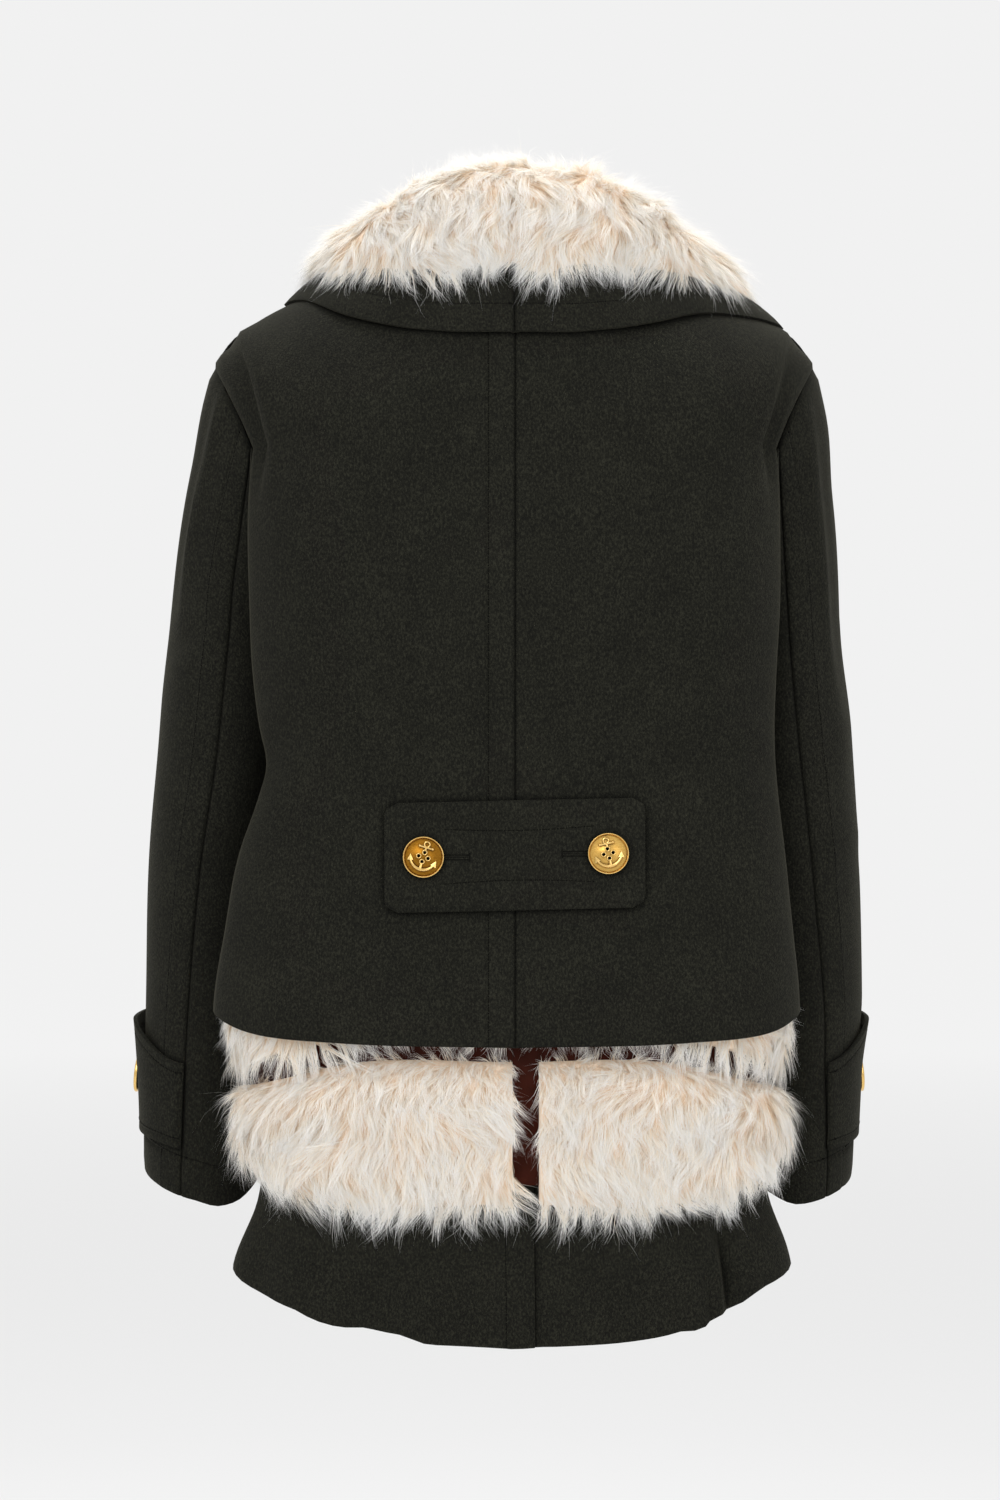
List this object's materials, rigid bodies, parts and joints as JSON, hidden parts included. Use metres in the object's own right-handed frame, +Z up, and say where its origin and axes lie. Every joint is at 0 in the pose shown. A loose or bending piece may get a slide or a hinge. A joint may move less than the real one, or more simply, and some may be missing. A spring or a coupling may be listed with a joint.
{
  "type": "wool coat",
  "caption": "Short double-layer wool coat with a faux fur collar, two fur tiers over a longer skirt layer, a back tab and metal buttons.",
  "frame": {"origin": "between the shoulders at the base of the neck, where the wearer's shoulders hold the coat", "axes": "+Z up, +Y the way the coat's front faces, +X the wearer's right"},
  "size_m": [0.5377, 0.2657, 0.8294],
  "materials": {
    "wool": "matt napped melton",
    "fur": "long soft pile",
    "leather": "smooth satin",
    "brass": "polished"
  },
  "bodies": {
    "root": {"shell_back_left": "wool", "shell_back_right": "wool", "shell_side_left": "wool", "shell_side_right": "wool", "shell_front_left": "wool", "shell_front_right": "wool", "sleeve_upper_left": "wool", "sleeve_upper_right": "wool", "sleeve_under_left": "wool", "sleeve_under_right": "wool", "skirt_back_left": "wool", "skirt_back_right": "wool", "skirt_front_left": "wool", "skirt_front_right": "wool", "cuff_strap_left": "wool", "cuff_strap_right": "wool", "collar_wool_left": "wool", "collar_wool_right": "wool", "back_tab": "wool", "collar_fur_left": "fur", "collar_fur_right": "fur", "fur_upper_back_left": "fur", "fur_upper_back_right": "fur", "fur_upper_front_left": "fur", "fur_upper_front_right": "fur", "fur_lower_back_left": "fur", "fur_lower_back_right": "fur", "fur_lower_front_left": "fur", "fur_lower_front_right": "fur", "strip_back_left": "leather", "strip_back_right": "leather", "strip_front_left": "leather", "strip_front_right": "leather", "strip_centre": "leather", "back_button_left": "brass", "back_button_right": "brass", "cuff_button_left": "brass", "cuff_button_right": "brass", "front_button_1": "brass", "front_button_2": "brass", "front_button_3": "brass", "front_button_4": "brass"}
  },
  "joints": []
}
